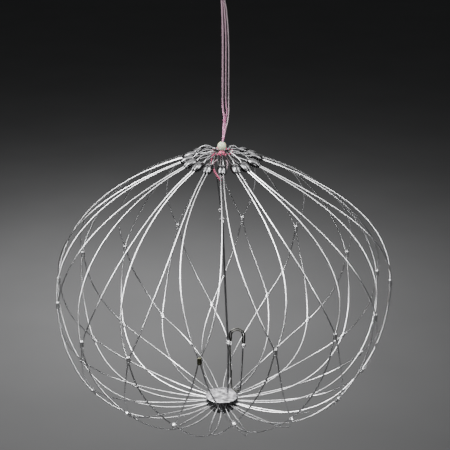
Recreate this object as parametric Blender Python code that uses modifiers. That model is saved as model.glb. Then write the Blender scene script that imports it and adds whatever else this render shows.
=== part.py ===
"""Folding crab trap: a globe of spring wire fingers that hangs from a cord.

Metres, +Z up, front towards -Y. The origin is the hanging point at the top of the cord.
Heights named ..._Z are measured up from a datum inside the hub, PLATE_Z below its top face.
Azimuths are measured at the trap's axis, from the front towards +X.
"""
from math import atan2, cos, hypot, pi, radians, sin, sqrt

import bmesh
import bpy
from mathutils import Matrix, Vector

# ---- driving dimensions -------------------------------------------------------------------
FINGERS = 16                       # hairpin wire fingers round the globe
FIRST_AZIMUTH = radians(4.0)       # azimuth of finger_01
HANG_HEIGHT = 0.425                # hanging point above the hub's datum
WIRE_D = 0.0013                    # spring wire of the fingers and ribs
ROD_D = 0.0020                     # centre rod
CLIP_D = 0.0015                    # bait clip wire
CORD_D = 0.0020                    # pull cord
PURSE_D = 0.0013                   # thin cord below the bead

WAIST_R = 0.160                    # radius of the ring of crimps where the fingers fold
FOLD_Z = 0.1240                    # height of the fold axes
SLEEVE_R = 0.0020                  # crimped sleeve on two wires
SLEEVE_L = 0.0070
FOLD_GAP = 0.0015                  # sleeve top to fold axis
FOOT_OFF = 0.00095                 # feet of two neighbours stand this far off their sleeve's plane

WEIGHT_R = 0.0323                  # ring of weights
WEIGHT_Z = 0.2473
WEIGHT_TILT = radians(21)          # outer end lower
WEIGHT_SIZE = (0.0084, 0.0118, 0.0068)   # across, along, high
LEG_HALF = 0.00145                 # half the spacing of the two legs in a weight
BORE_R = 0.00095

LAYER = 0.00095                    # crossing ribs run this far outside and inside the mean surface
RIB_END_R = 0.0130
RIB_END_Z = -0.0042
RIB_SWEEP = (0.775, 2.003, -1.528)  # azimuth along a rib, in finger pitches: a t + b t^2 + c t^3

PLATE_R = 0.0163
PLATE_T = 0.0012
PLATE_Z = 0.0017                   # top face of the plate
SPOOL_CORE_R = 0.0124
SPOOL_FLANGE_R = 0.0160
SPOOL_TOP_Z = 0.0001
SPOOL_FLANGE_Z = -0.0068
SPOOL_EDGE_Z = -0.0080
SPOOL_BOTTOM_R = 0.0105
SPOOL_BOTTOM_Z = -0.0142

BEAD_Z = 0.2600
BEAD_R = 0.0040
BEAD_HALF_H = 0.0044
KNOT_Z = 0.2492                    # middle of the knot below the bead
KNOT_R = 0.0032
KNOT_HALF_H = 0.0050
CORD_TOP_Z = 0.3980                # pull cord meets the hanging loop's knot
LOOP_KNOT_R = 0.0036
LOOP_KNOT_H = 0.0090
LOOP_HALF_W = 0.0065
GAP = 0.0003                       # between pieces that touch

# bait clip and rod, hub frame
ROD_ROUTE = ((0.0055, 0.0040, PLATE_Z + GAP), (0.0060, 0.0036, 0.050), (0.0046, 0.0028, 0.082),
             (0.0026, 0.0016, 0.130), (0.0004, 0.0006, 0.186), (-0.0016, 0.0004, 0.203),
             (-0.0043, 0.0002, 0.2275))
CLIP_PIVOT = (0.0152, 0.0020, 0.0058)
CLIP_STEM = ((0.0094, -0.0004, 0.0110), (0.0088, -0.0002, 0.0280), (0.0079, -0.0002, 0.0500),
             (0.0077, -0.0002, 0.0612))
ARCH_CENTRE = (0.0146, 0.0664)     # the clip's top bend, two runs one inside the other
ARCH_OUTER_R = 0.0074
ARCH_INNER_R = 0.0054
ARCH_FOOT_Z = 0.0590
PIN_TOP = (0.0204, 0.0, 0.0519)
LATCH_R = 0.0021
LATCH_Z = 0.0547
COIL_R = 0.0029                    # middle of the pin's coil
COIL_TURNS = 2
FERRULE_SIZE = (0.0041, 0.0021, 0.0042)   # half length, half width, height
FERRULE_Z = 0.0582
FERRULE_AT = ((0.0058, 0.0034), (0.0077, -0.0002))   # rod and clip wire through it
PURSE_ROUTE = ((-0.0039, -0.0010, 0.2468), (-0.0064, -0.0030, 0.2462), (-0.0078, -0.0040, 0.2438),
               (-0.0069, -0.0043, 0.2380), (-0.0044, -0.0050, 0.2336), (-0.0012, -0.0052, 0.2308),
               (0.0020, -0.0050, 0.2328), (0.0040, -0.0046, 0.2382), (0.0052, -0.0036, 0.2440),
               (0.0041, -0.0022, 0.2468))

# derived
PITCH = 2 * pi / FINGERS
FOOT_T = WAIST_R * sin(PITCH / 2) - FOOT_OFF / cos(PITCH / 2)
FOLD_R = sqrt(WAIST_R ** 2 - FOOT_T ** 2)
SLEEVE_Z = FOLD_Z - FOLD_GAP - SLEEVE_L / 2
WEIGHT_DIR = (cos(WEIGHT_TILT), -sin(WEIGHT_TILT))
WEIGHT_HALF = WEIGHT_SIZE[1] / 2

TRAP_COLLECTION = "crab_trap"
CUTTER_COLLECTION = "cutters"


# ---- scene and materials ------------------------------------------------------------------
def clear_scene():
    for obj in list(bpy.data.objects):
        bpy.data.objects.remove(obj, do_unlink=True)
    for name in (TRAP_COLLECTION, CUTTER_COLLECTION):
        col = bpy.data.collections.get(name)
        if col:
            bpy.data.collections.remove(col)


def collection(name):
    col = bpy.data.collections.get(name)
    if col is None:
        col = bpy.data.collections.new(name)
        bpy.context.scene.collection.children.link(col)
    return col


def material(name, colour, roughness, metallic):
    mat = bpy.data.materials.new(name)
    mat.use_nodes = True
    shader = mat.node_tree.nodes["Principled BSDF"]
    shader.inputs["Base Color"].default_value = (*colour, 1.0)
    shader.inputs["Roughness"].default_value = roughness
    shader.inputs["Metallic"].default_value = metallic
    return mat


def add_object(name, data, mat, parent=None, cutter=False):
    """Link a new object to the trap's or the cutters' collection."""
    obj = bpy.data.objects.new(name, data)
    collection(CUTTER_COLLECTION if cutter else TRAP_COLLECTION).objects.link(obj)
    obj.parent = parent
    if cutter:
        obj.hide_render = True
        obj.display_type = "WIRE"
    if mat is not None and data is not None:
        data.materials.clear()
        data.materials.append(mat)
    return obj


# ---- shape helpers ------------------------------------------------------------------------
def bezier(p0, p1, p2, p3, t):
    u = 1 - t
    weights = (u ** 3, 3 * u * u * t, 3 * u * t * t, t ** 3)
    return tuple(sum(w * p[i] for w, p in zip(weights, (p0, p1, p2, p3))) for i in range(len(p0)))


def smooth_route(points, per_span):
    """Catmull-Rom points through the given ones."""
    pts = [Vector(p) for p in points]
    pts = [2 * pts[0] - pts[1]] + pts + [2 * pts[-1] - pts[-2]]
    out = []
    for i in range(1, len(pts) - 2):
        a, b, c, d = pts[i - 1:i + 3]
        for j in range(per_span):
            t = j / per_span
            out.append(0.5 * (2 * b + (c - a) * t + (2 * a - 5 * b + 4 * c - d) * t ** 2
                              + (3 * b - a - 3 * c + d) * t ** 3))
    out.append(pts[-2])
    return out


def tube_curve(name, points, diameter, sides):
    """A wire: POLY curve with a round bevel and filled caps."""
    curve = bpy.data.curves.new(name, "CURVE")
    curve.dimensions = "3D"
    curve.bevel_depth = diameter / 2
    curve.bevel_resolution = (sides - 4) // 2
    curve.use_fill_caps = True
    curve.resolution_u = 1
    curve.render_resolution_u = 0
    spline = curve.splines.new("POLY")
    spline.points.add(len(points) - 1)
    for point, co in zip(spline.points, points):
        point.co = (*co, 1.0)
    return curve


def mesh_from_object(obj, name):
    """The evaluated mesh of an object, with a curve's loose caps welded."""
    graph = bpy.context.evaluated_depsgraph_get()
    mesh = bpy.data.meshes.new_from_object(obj.evaluated_get(graph))
    mesh.name = name
    bm = bmesh.new()
    bm.from_mesh(mesh)
    bmesh.ops.remove_doubles(bm, verts=bm.verts, dist=1e-6)
    bmesh.ops.recalc_face_normals(bm, faces=bm.faces)
    bm.to_mesh(mesh)
    bm.free()
    return mesh


def tube_mesh(name, points, diameter, sides):
    obj = add_object(name + "_guide", tube_curve(name, points, diameter, sides), None, cutter=True)
    bpy.context.view_layer.update()
    mesh = mesh_from_object(obj, name)
    bpy.data.objects.remove(obj, do_unlink=True)
    return mesh


def cylinder_mesh(name, radius, depth, sides, matrix):
    mesh = bpy.data.meshes.new(name)
    bm = bmesh.new()
    bmesh.ops.create_cone(bm, cap_ends=True, segments=sides, radius1=radius, radius2=radius,
                          depth=depth, matrix=matrix)
    bm.to_mesh(mesh)
    bm.free()
    return mesh


def ellipsoid_mesh(name, size, segments, rings):
    mesh = bpy.data.meshes.new(name)
    bm = bmesh.new()
    bmesh.ops.create_uvsphere(bm, u_segments=segments, v_segments=rings, radius=0.5)
    bmesh.ops.scale(bm, vec=size, verts=bm.verts)
    bm.to_mesh(mesh)
    bm.free()
    return mesh


def boolean_mesh(name, base, others, operation):
    """Cut or join meshes that share one frame, and return the result as a mesh."""
    body = add_object(name + "_base", base, None, cutter=True)
    tools = [add_object(name + "_tool", mesh, None, cutter=True) for mesh in others]
    for tool in tools:
        mod = body.modifiers.new(operation.lower(), "BOOLEAN")
        mod.operation = operation
        mod.solver = "EXACT"
        mod.object = tool
    bpy.context.view_layer.update()
    mesh = mesh_from_object(body, name)
    for obj in (body, *tools):
        bpy.data.objects.remove(obj, do_unlink=True)
    return mesh


def turned(name, profile, mat, parent, steps):
    """A turned piece: (radius, height) points from top to bottom, spun about Z."""
    mesh = bpy.data.meshes.new(name)
    mesh.from_pydata([(r, 0.0, z) for r, z in profile], [(i, i + 1) for i in range(len(profile) - 1)], [])
    obj = add_object(name, mesh, mat, parent)
    screw = obj.modifiers.new("turn", "SCREW")
    screw.axis = "Z"
    screw.steps = steps
    screw.render_steps = steps
    screw.use_merge_vertices = True
    screw.merge_threshold = 0.00001
    return obj


def oval_profile(radius, half_height, bore, count):
    """Outer arc of an oval bead with a straight bore, closed; top to bottom."""
    start = atan2(bore / radius, sqrt(1 - (bore / radius) ** 2))
    angles = [start + (pi - 2 * start) * i / count for i in range(count + 1)]
    arc = [(radius * sin(a), half_height * cos(a)) for a in angles]
    return arc + [arc[0]]


def solid_oval_profile(radius, half_height, count):
    return [(radius * sin(pi * i / count), half_height * cos(pi * i / count)) for i in range(count + 1)]


# ---- wire routes --------------------------------------------------------------------------
def leg_route():
    """Upper leg of a finger, weight to foot, as (across, radius from the trap's axis, height)."""
    start = (WEIGHT_R + 1.2 * WEIGHT_HALF * WEIGHT_DIR[0], WEIGHT_Z + 1.2 * WEIGHT_HALF * WEIGHT_DIR[1])
    reach = 0.072
    handle_a = (start[0] + reach * WEIGHT_DIR[0], start[1] + reach * WEIGHT_DIR[1])
    handle_b = (WAIST_R, FOLD_Z + 0.0515)
    points = []
    count = 8
    for i in range(count + 1):
        t = i / count
        r, z = bezier(start, handle_a, handle_b, (WAIST_R, FOLD_Z), t)
        across = LEG_HALF + (FOOT_T - LEG_HALF) * t ** 2.5
        points.append((across, sqrt(r * r - across * across), z))
    return points


def eye_route():
    """Upright eye inside the ring of weights, from the right bore round to the left one."""
    inner = (WEIGHT_R - 1.15 * WEIGHT_HALF * WEIGHT_DIR[0], WEIGHT_Z - 1.15 * WEIGHT_HALF * WEIGHT_DIR[1])
    return [(LEG_HALF, *inner), (0.0009, 0.0205, 0.2545), (0.0003, 0.0155, 0.2570),
            (0.0, 0.0110, 0.2568), (0.0, 0.0083, 0.2553), (-0.0002, 0.0080, 0.2537),
            (-0.0005, 0.0100, 0.2527), (-0.0010, 0.0170, 0.2514), (-LEG_HALF, *inner)]


def finger_points():
    """The whole hairpin in its own frame: origin on the fold axis, outward towards -Y."""
    right = leg_route()
    left = [(-a, r, z) for a, r, z in right]
    route = right[::-1] + eye_route() + left
    return [(a, FOLD_R - r, z - FOLD_Z) for a, r, z in route]


def rib_points(side):
    """One rib from its sleeve down to the hub. side +1 leans right and runs outside, -1 inside."""
    start, end = (WAIST_R, SLEEVE_Z), (RIB_END_R, RIB_END_Z)
    handle_a = (WAIST_R, SLEEVE_Z - 0.085)
    handle_b = (0.103, -0.008)
    a, b, c = RIB_SWEEP
    points = []
    count = 11
    for i in range(count + 1):
        t = i / count
        r, z = bezier(start, handle_a, handle_b, end, t)
        before = bezier(start, handle_a, handle_b, end, max(t - 0.01, 0))
        after = bezier(start, handle_a, handle_b, end, min(t + 0.01, 1))
        dr, dz = after[0] - before[0], after[1] - before[1]
        length = hypot(dr, dz)
        r += side * LAYER * -dz / length
        z += side * LAYER * dr / length
        azimuth = side * PITCH * (a * t + b * t ** 2 + c * t ** 3)
        points.append((r * sin(azimuth), -r * cos(azimuth), z - SLEEVE_Z))
    return points


# ---- sub-parts ----------------------------------------------------------------------------
def ring_location(radius, height, azimuth):
    return (radius * sin(azimuth), -radius * cos(azimuth), height)


def make_fingers(frame, wire_mat, weight_mat):
    finger_mesh = tube_mesh("finger", finger_points(), WIRE_D, 8)
    solid = ellipsoid_mesh("weight_solid", WEIGHT_SIZE, 10, 8)
    along_y = Matrix.Rotation(pi / 2, 4, "X")
    bores = [cylinder_mesh("bore", BORE_R, 0.02, 6, Matrix.Translation((x, 0, 0)) @ along_y)
             for x in (-LEG_HALF, LEG_HALF)]
    weight_mesh = boolean_mesh("weight", solid, bores, "DIFFERENCE")
    for i in range(FINGERS):
        azimuth = FIRST_AZIMUTH + i * PITCH
        finger = add_object(f"finger_{i + 1:02d}", finger_mesh, wire_mat, frame)
        finger.location = ring_location(FOLD_R, FOLD_Z, azimuth)
        finger.rotation_euler = (0, 0, azimuth)
        weight = add_object(f"weight_{i + 1:02d}", weight_mesh, weight_mat, finger)
        weight.location = (0, FOLD_R - WEIGHT_R, WEIGHT_Z - FOLD_Z)
        weight.rotation_euler = (WEIGHT_TILT, 0, 0)


def make_rib_pairs(frame, mat):
    sleeve = cylinder_mesh("sleeve", SLEEVE_R, SLEEVE_L, 10,
                           Matrix.Translation((0, -WAIST_R, 0)))
    ribs = [tube_mesh("rib", rib_points(side), WIRE_D, 8) for side in (1, -1)]
    mesh = boolean_mesh("rib_pair", sleeve, ribs, "UNION")
    for i in range(FINGERS):
        pair = add_object(f"rib_pair_{i + 1:02d}", mesh, mat, frame)
        pair.location = (0, 0, SLEEVE_Z)
        pair.rotation_euler = (0, 0, FIRST_AZIMUTH + (i + 0.5) * PITCH)


def make_hub(frame):
    dome = 0.0005
    plate = turned("hub_top_plate", [(0, 0), (PLATE_R * 0.7, -dome * 0.4), (PLATE_R, -dome),
                                     (PLATE_R, -PLATE_T), (0, -PLATE_T)],
                   material("plate_steel", (0.62, 0.61, 0.62), 0.45, 0.9), frame, 28)
    plate.location = (0, 0, PLATE_Z)
    turned("hub_spool", [(0, SPOOL_TOP_Z), (SPOOL_CORE_R, SPOOL_TOP_Z), (SPOOL_CORE_R, SPOOL_FLANGE_Z),
                         (SPOOL_FLANGE_R, SPOOL_FLANGE_Z), (SPOOL_FLANGE_R, SPOOL_EDGE_Z),
                         (SPOOL_BOTTOM_R, SPOOL_BOTTOM_Z), (0, SPOOL_BOTTOM_Z)],
           material("spool_black", (0.03, 0.03, 0.032), 0.5, 0.3), frame, 24)


def make_rod(frame):
    rod_mat = material("rod_wire", (0.16, 0.16, 0.165), 0.45, 0.8)
    add_object("centre_rod", tube_curve("centre_rod", smooth_route(ROD_ROUTE, 3), ROD_D, 8),
               rod_mat, frame)
    # an oval ferrule round the rod and the clip's wire
    (ax, ay), (bx, by) = FERRULE_AT
    half, width, height = FERRULE_SIZE
    turn = Matrix.Rotation(atan2(by - ay, bx - ax), 4, "Z") @ Matrix.Diagonal((half, width, 1, 1))
    oval = cylinder_mesh("ferrule_oval", 1.0, height, 18, turn)
    bores = [cylinder_mesh("ferrule_bore", d / 2 + GAP, 2 * height, 10,
                           Matrix.Translation((x - (ax + bx) / 2, y - (ay + by) / 2, 0)))
             for x, y, d in ((ax, ay, ROD_D), (bx, by, CLIP_D))]
    ferrule = boolean_mesh("rod_ferrule", oval, bores, "DIFFERENCE")
    obj = add_object("rod_ferrule", ferrule, material("ferrule_zinc", (0.7, 0.7, 0.7), 0.35, 0.9), frame)
    obj.location = ((ax + bx) / 2, (ay + by) / 2, FERRULE_Z)


def make_bait_clip(frame):
    wire_mat = material("clip_wire", (0.55, 0.55, 0.56), 0.35, 0.9)
    px, py, pz = CLIP_PIVOT
    axle_half = 0.0039
    # the fixed wire: an axle through the pin's coil, up beside the rod, over the top and back
    axle = [(px, py + axle_half, pz), (px, py - axle_half, pz),
            (px - 0.0026, py - axle_half, pz + 0.0008), (px - 0.0046, py - axle_half * 0.8, pz + 0.0028)]
    route = axle + [tuple(p) for p in smooth_route(list(CLIP_STEM) + arch_run(ARCH_OUTER_R), 2)]
    route += [tuple(p) for p in reversed(arch_run(ARCH_INNER_R))]
    route += [(ARCH_CENTRE[0] - ARCH_INNER_R, 0, FERRULE_Z + FERRULE_SIZE[2] / 2 + 0.0038)]
    add_object("bait_hook", tube_curve("bait_hook", route, CLIP_D, 6), wire_mat, frame)

    latch = turned("latch_bead", solid_oval_profile(LATCH_R, LATCH_R * 1.15, 6),
                   material("latch_zinc", (0.75, 0.75, 0.76), 0.3, 0.9), frame, 10)
    latch.location = (ARCH_CENTRE[0] + (ARCH_OUTER_R + ARCH_INNER_R) / 2, 0, LATCH_Z)

    pin = add_object("bait_pin", tube_curve("bait_pin", pin_points(), CLIP_D, 6), wire_mat, frame)
    pin.location = CLIP_PIVOT


def arch_run(radius):
    """One run of the clip's top bend, from beside the rod over to the latch."""
    x, z = ARCH_CENTRE
    bend = [(x - radius * cos(pi * i / 8), 0.0, z + radius * sin(pi * i / 8)) for i in range(9)]
    middle = (ARCH_OUTER_R + ARCH_INNER_R) / 2
    return bend + [(x + radius, 0.0, ARCH_FOOT_Z), (x + radius * 0.4 + middle * 0.6, 0.0, ARCH_FOOT_Z - 0.0008)]


def pin_points():
    """Sprung leg of the bait clip about its pivot: a coil round the axle, then the straight pin."""
    pitch = CLIP_D * 1.25
    steps = 8
    coil = []
    for i in range(COIL_TURNS * steps + 1):
        turn = i / steps
        angle = 2 * pi * turn
        coil.append((COIL_R * cos(angle), (turn - COIL_TURNS / 2) * pitch, COIL_R * sin(angle)))
    top = Vector(PIN_TOP) - Vector(CLIP_PIVOT)
    run = [Vector(coil[-1]).lerp(top, t) for t in (0.12, 0.5, 1.0)]
    return coil + [tuple(p) for p in run]


def make_cord(frame):
    cord_mat = material("cord_pink", (0.62, 0.24, 0.40), 0.8, 0.0)
    bead = turned("stop_bead", oval_profile(BEAD_R, BEAD_HALF_H, CORD_D / 2 + 0.0005, 8),
                  material("bead_glow", (0.72, 0.76, 0.62), 0.4, 0.0), frame, 16)
    bead.location = (0, 0, BEAD_Z)
    knot = turned("purse_knot", solid_oval_profile(KNOT_R, KNOT_HALF_H, 8), cord_mat, frame, 12)
    knot.location = (0, 0, KNOT_Z)
    add_object("purse_cord", tube_curve("purse_cord", smooth_route(PURSE_ROUTE, 3), PURSE_D, 8),
               cord_mat, frame)
    start = KNOT_Z + KNOT_HALF_H + GAP
    spacing = 0.0055
    count = int((CORD_TOP_Z - start) / spacing)
    points = [(0, 0, start + (CORD_TOP_Z - start) * i / count) for i in range(count + 1)]
    add_object("pull_cord", tube_curve("pull_cord", points, CORD_D, 8), cord_mat, frame)
    make_hang_loop(frame, cord_mat)


def make_hang_loop(frame, mat):
    """The tied loop at the top: a knot with an upright eye of cord whose inner top is the origin."""
    knot_top = CORD_TOP_Z + GAP + LOOP_KNOT_H
    knot = ellipsoid_mesh("loop_knot", (2 * LOOP_KNOT_R, 2 * LOOP_KNOT_R, LOOP_KNOT_H), 12, 8)
    knot.transform(Matrix.Translation((0, 0, CORD_TOP_Z + GAP + LOOP_KNOT_H / 2)))
    foot = knot_top - 0.0035
    crown = HANG_HEIGHT + CORD_D / 2
    waist = crown - LOOP_HALF_W
    sides = [(0.0012, 0, foot), (0.0030, 0, knot_top + 0.002), (0.0056, 0, knot_top + 0.0055)]
    arc = [(LOOP_HALF_W * cos(a), 0, waist + LOOP_HALF_W * sin(a)) for a in
           [pi * i / 10 for i in range(11)]]
    eye = sides + arc + [(-x, y, z) for x, y, z in reversed(sides)]
    mesh = boolean_mesh("hang_loop", knot, [tube_mesh("loop_eye", eye, CORD_D, 8)], "UNION")
    add_object("hang_loop", mesh, mat, frame)


def build():
    clear_scene()
    frame = add_object("trap_frame", None, None)
    frame.location = (0, 0, -HANG_HEIGHT)
    bpy.context.view_layer.update()
    wire_mat = material("spring_wire", (0.75, 0.75, 0.76), 0.3, 0.95)
    make_fingers(frame, wire_mat, material("weight_zinc", (0.42, 0.42, 0.43), 0.4, 0.85))
    make_rib_pairs(frame, wire_mat)
    make_hub(frame)
    make_rod(frame)
    make_bait_clip(frame)
    make_cord(frame)
    for obj in collection(TRAP_COLLECTION).objects:
        if obj.type == "MESH":
            obj.data.shade_smooth()
            obj.data.set_sharp_from_angle(angle=radians(40))


build()
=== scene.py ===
"""Looks of the folding crab trap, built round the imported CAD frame.

Metres, +Z up, front towards -Y, origin at the hanging point. Routes are worked out in the hub's
frame, whose heights start at the datum in the hub, and then moved to the row frame.
"""
import random
from math import asin, cos, exp, hypot, pi, radians, sin, sqrt

import bmesh
import bpy
from mathutils import Matrix, Vector


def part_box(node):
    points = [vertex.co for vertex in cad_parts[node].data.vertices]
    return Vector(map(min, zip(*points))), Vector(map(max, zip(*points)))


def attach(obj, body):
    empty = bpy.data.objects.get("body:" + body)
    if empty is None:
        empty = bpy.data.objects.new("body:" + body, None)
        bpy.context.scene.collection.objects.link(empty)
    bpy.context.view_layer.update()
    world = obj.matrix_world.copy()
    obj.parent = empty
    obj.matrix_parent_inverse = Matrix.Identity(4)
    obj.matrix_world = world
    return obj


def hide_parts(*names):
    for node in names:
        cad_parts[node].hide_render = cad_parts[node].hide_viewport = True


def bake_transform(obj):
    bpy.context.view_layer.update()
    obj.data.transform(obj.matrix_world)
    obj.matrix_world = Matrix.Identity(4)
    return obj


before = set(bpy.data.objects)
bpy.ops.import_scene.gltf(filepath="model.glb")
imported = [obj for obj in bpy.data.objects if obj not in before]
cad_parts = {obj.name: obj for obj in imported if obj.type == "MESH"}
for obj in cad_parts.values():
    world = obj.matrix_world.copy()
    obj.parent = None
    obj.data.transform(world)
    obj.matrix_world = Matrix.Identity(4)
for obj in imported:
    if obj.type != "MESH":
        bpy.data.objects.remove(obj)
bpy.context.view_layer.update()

# ---- places and sizes that the looks share with the CAD ----------------------------------------
PLATE_Z = 0.0017
HUB_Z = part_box("hub_top_plate")[1].z - PLATE_Z
FINGERS = 16
PITCH = 2 * pi / FINGERS
FIRST_AZIMUTH = radians(4.0)
WIRE_D = 0.0013
WAIST_R = 0.160
FOLD_Z = 0.1240
SLEEVE_Z = 0.1190
WEIGHT_R, WEIGHT_Z, WEIGHT_TILT = 0.0323, 0.2473, radians(21)
WEIGHT_HALF = 0.0059
LEG_HALF = 0.00145
RIB_END_R, RIB_END_Z = 0.0130, -0.0042
PLATE_R, PLATE_T = 0.0163, 0.0012
SPOOL_CORE_R, SPOOL_FLANGE_R, SPOOL_BOTTOM_R = 0.0124, 0.0160, 0.0105
SPOOL_TOP_Z, SPOOL_FLANGE_Z, SPOOL_EDGE_Z, SPOOL_BOTTOM_Z = 0.0001, -0.0068, -0.0080, -0.0142
BEAD_Z, BEAD_R, BEAD_HALF_H = 0.2600, 0.0040, 0.0044
KNOT_Z, KNOT_HALF_H = 0.2492, 0.0050
CORD_TOP_Z = 0.3980
CORD_D, PURSE_D = 0.0020, 0.0013
ROD_D, CLIP_D = 0.0020, 0.0015
CLIP_PIVOT = Vector((0.0152, 0.0020, 0.0058))
CLIP_STEM = ((0.0094, -0.0004, 0.0110), (0.0088, -0.0002, 0.0280), (0.0079, -0.0002, 0.0500),
             (0.0077, -0.0002, 0.0612))
ARCH_CENTRE, ARCH_OUTER_R, ARCH_FOOT_Z = (0.0146, 0.0664), 0.0074, 0.0590
LATCH_Z, FERRULE_Z = 0.0547, 0.0582
PIN_TOP = Vector((0.0204, 0.0, 0.0519))
COIL_R = 0.0029

# ---- sizes of the looks alone -------------------------------------------------------------------
WEIGHT_HALF_L = 0.0065                  # the drawn weight is a little longer than the CAD's
WEIGHT_HIGHLIGHT_Y = -0.0024                # where each lobe has a painted highlight, towards its outer end
ARCH_INNER_R = 0.0055
STRAND_D = 0.0012
LOWER_T, CROSS_T = 0.38, 0.70           # where along a rib the lower crimp and the next crossing are
# the lens and the camera's place and aim: report.md says how they and the tables below were found
LENS = 108.96
CAMERA_AT = (0.0, -1.2072, 0.6387)
CAMERA_AIM = (0.0029, 0.0, 0.1817)

# ---- unevenness of the real cage, given below; the CAD itself is regular ------------------------
# how far each crimp sits from its nominal place, upwards and round the ring, in millimetres
WAIST_OFFSETS = ((4, 3.6), (6, 1.3), (3, 0), (12, 0), (-4.5, 0), (-5.5, -3), (5.5, 2.2), (9, -1.3),
                 (3.2, 5.5), (-9.6, 5.5), (3, 5), (-2.4, 0), (-1, 1), (-15, 0), (-10.5, -1.9), (-1.5, 1))
LOWER_OFFSETS = ((2.2, 0.7), (-1.7, 1.5), (2.1, 4.5), (9, 3), (1.5, 0), (-1.2, -4), (-4.7, -1.7),
                 (11, -4), (-2.5, 1.5), (-8, 4), (-4, 1.4), (0, 0), (1.4, 0), (-3, 1.2), (-5.1, 3.3),
                 (-2.5, 0.6))
# how far each finger's top leans round the ring, in degrees, and how much higher than nominal the
# middle and the tip of its eye stand, in mm
TOP_LEANS = (-4, -4, -9, -5, 5, 0, 0, 0, 0, 0, 0, 0, 0, 0, -2, -4)
EYE_LIFTS = ((0, 0), (-0.5, 0), (0, 0.3), (0.6, 0), (1.4, 4.0), (-0.6, -0.6), (-1.2, -0.4), (-2, -1),
             (-2, -1.2), (-2, -1), (-0.5, 0), (3.6, 0.8), (0.8, 0), (0.4, 0), (-0.4, 0.3), (0, 0))
RNG = random.Random(20)


# ---- scene helpers ------------------------------------------------------------------------------
def row(point):
    """Hub frame to row frame."""
    return Vector((point[0], point[1], point[2] + HUB_Z))


def around(across, radius, height, azimuth):
    """A point given across and out from the trap's axis in the plane of an azimuth, hub frame."""
    return Vector((radius * sin(azimuth) + across * cos(azimuth),
                   -radius * cos(azimuth) + across * sin(azimuth), height))


def mesh_object(name, verts, faces, mat, smooth=True):
    mesh = bpy.data.meshes.new(name)
    mesh.from_pydata([tuple(v) for v in verts], [], faces)
    mesh.validate()
    obj = bpy.data.objects.new(name, mesh)
    bpy.context.scene.collection.objects.link(obj)
    mesh.materials.append(mat)
    if smooth:
        mesh.shade_smooth()
        mesh.set_sharp_from_angle(angle=radians(50))
    return obj


def place(obj, body, slot, *nodes):
    """Ride a body and stand for CAD nodes; slot is not used."""
    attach(obj, body)
    if nodes:
        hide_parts(*nodes)
    return obj


def catmull(points, per_span):
    """Smooth curve through points, centripetal, with per_span steps between two of them."""
    pts = [Vector(p) for p in points]
    pts = [2 * pts[0] - pts[1]] + pts + [2 * pts[-1] - pts[-2]]
    out = []
    for i in range(1, len(pts) - 2):
        p0, p1, p2, p3 = pts[i - 1:i + 3]
        t0 = 0.0
        t1 = t0 + max((p1 - p0).length, 1e-9) ** 0.5
        t2 = t1 + max((p2 - p1).length, 1e-9) ** 0.5
        t3 = t2 + max((p3 - p2).length, 1e-9) ** 0.5
        for j in range(per_span):
            t = t1 + (t2 - t1) * j / per_span
            a1 = p0 * ((t1 - t) / (t1 - t0)) + p1 * ((t - t0) / (t1 - t0))
            a2 = p1 * ((t2 - t) / (t2 - t1)) + p2 * ((t - t1) / (t2 - t1))
            a3 = p2 * ((t3 - t) / (t3 - t2)) + p3 * ((t - t2) / (t3 - t2))
            b1 = a1 * ((t2 - t) / (t2 - t0)) + a2 * ((t - t0) / (t2 - t0))
            b2 = a2 * ((t3 - t) / (t3 - t1)) + a3 * ((t - t1) / (t3 - t1))
            out.append(b1 * ((t2 - t) / (t2 - t1)) + b2 * ((t - t1) / (t2 - t1)))
    out.append(pts[-2].copy())
    return out


def sweep_mesh(points, sides, radius):
    """Closed tube along points. radius(s, angle, length) gives its radius; s runs from 0 to 1."""
    n = len(points)
    tangents = [(points[min(i + 1, n - 1)] - points[max(i - 1, 0)]).normalized() for i in range(n)]
    start = Vector((0, 0, 1)) if abs(tangents[0].z) < 0.9 else Vector((1, 0, 0))
    normal = (start - tangents[0] * start.dot(tangents[0])).normalized()
    verts, faces, length = [], [], 0.0
    for i in range(n):
        if i:
            length += (points[i] - points[i - 1]).length
            normal = (normal - tangents[i] * normal.dot(tangents[i])).normalized()
        side = tangents[i].cross(normal)
        for j in range(sides):
            angle = 2 * pi * j / sides
            r = radius(i / (n - 1), angle, length)
            verts.append(points[i] + (normal * cos(angle) + side * sin(angle)) * r)
    for i in range(n - 1):
        for j in range(sides):
            k = (j + 1) % sides
            faces.append((i * sides + j, i * sides + k, (i + 1) * sides + k, (i + 1) * sides + j))
    faces.append(tuple(range(sides - 1, -1, -1)))
    faces.append(tuple((n - 1) * sides + j for j in range(sides)))
    return verts, faces


def wire(name, points, diameter, mat, sides=10):
    """A round wire whose two ends are slightly rounded off."""
    half = diameter / 2
    ends = (0.55, 0.86, 1.0)
    run = [Vector(p) for p in points]
    first, last = (run[0] - run[1]).normalized(), (run[-1] - run[-2]).normalized()
    run = [run[0] + first * half * 0.4, run[0] + first * half * 0.2] + run
    run += [run[-1] + last * half * 0.2, run[-1] + last * half * 0.4]
    count = len(run)

    def radius(s, angle, length):
        i = round(s * (count - 1))
        return half * ends[min(i, count - 1 - i, 2)]

    verts, faces = sweep_mesh(run, sides, radius)
    return mesh_object(name, verts, faces, mat)


def strand(name, points, diameter, mat, twist=0.0055, plies=2, sides=12, depth=0.13):
    """A twisted cord: a lobed section that turns once in each length of twist."""
    half = diameter / 2

    def radius(s, angle, length):
        return half * (1 - depth + depth * abs(cos(plies * 0.5 * (angle - 2 * pi * length / twist))) * 1.4)

    verts, faces = sweep_mesh([Vector(p) for p in points], sides, radius)
    return mesh_object(name, verts, faces, mat)


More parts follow.
